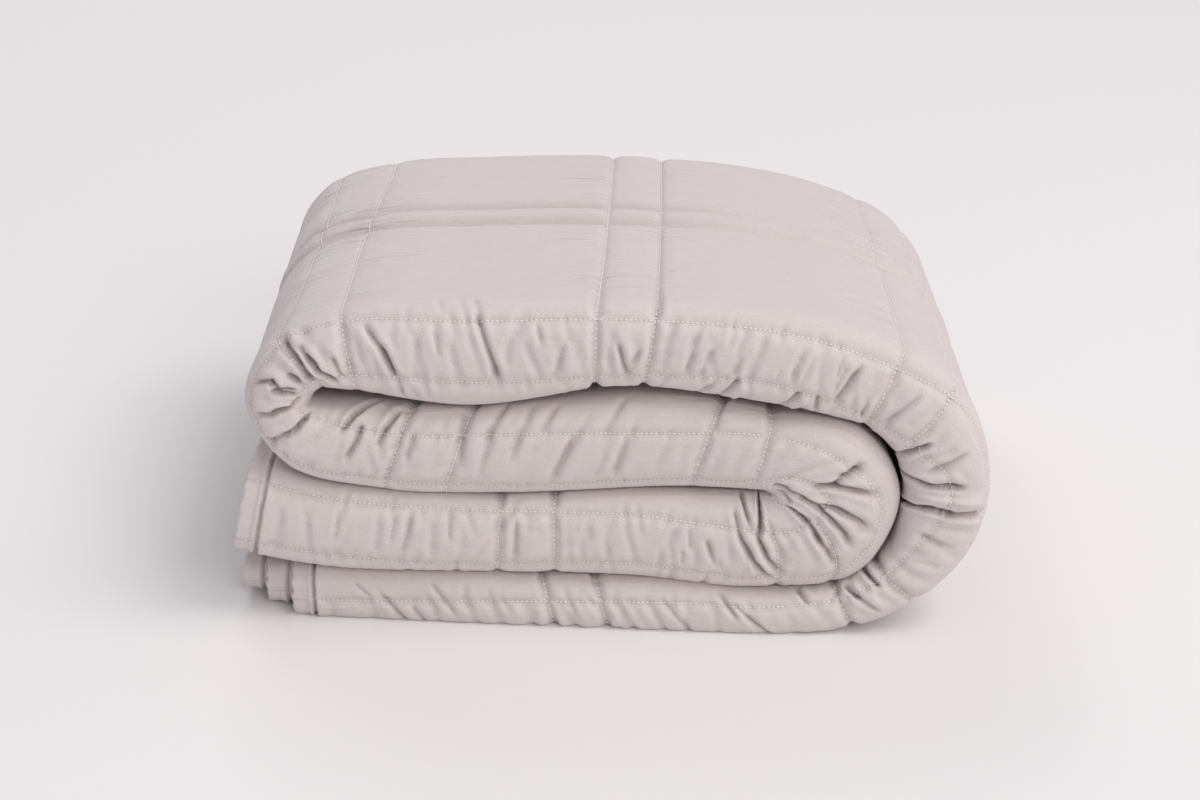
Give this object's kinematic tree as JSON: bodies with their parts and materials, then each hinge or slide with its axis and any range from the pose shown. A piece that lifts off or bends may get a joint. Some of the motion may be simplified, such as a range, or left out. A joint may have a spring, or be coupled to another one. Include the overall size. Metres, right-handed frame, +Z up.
{
  "type": "weighted blanket",
  "caption": "Quilted, filled blanket in plain cloth, folded lengthwise into a strip of plies and then in half and in half again, lying flat as a thick stack of layers",
  "frame": {"origin": "the middle of the floor area it lies on", "axes": "+X runs along the layers from the free ends to the outer turn, +Y from the front fold to the back folds, +Z up"},
  "size_m": [0.3936, 0.3282, 0.1741],
  "materials": {
    "blanket_cloth": "plain fine weave, matt with a soft sheen"
  },
  "bodies": {
    "root": {"blanket": "blanket_cloth"}
  },
  "joints": []
}
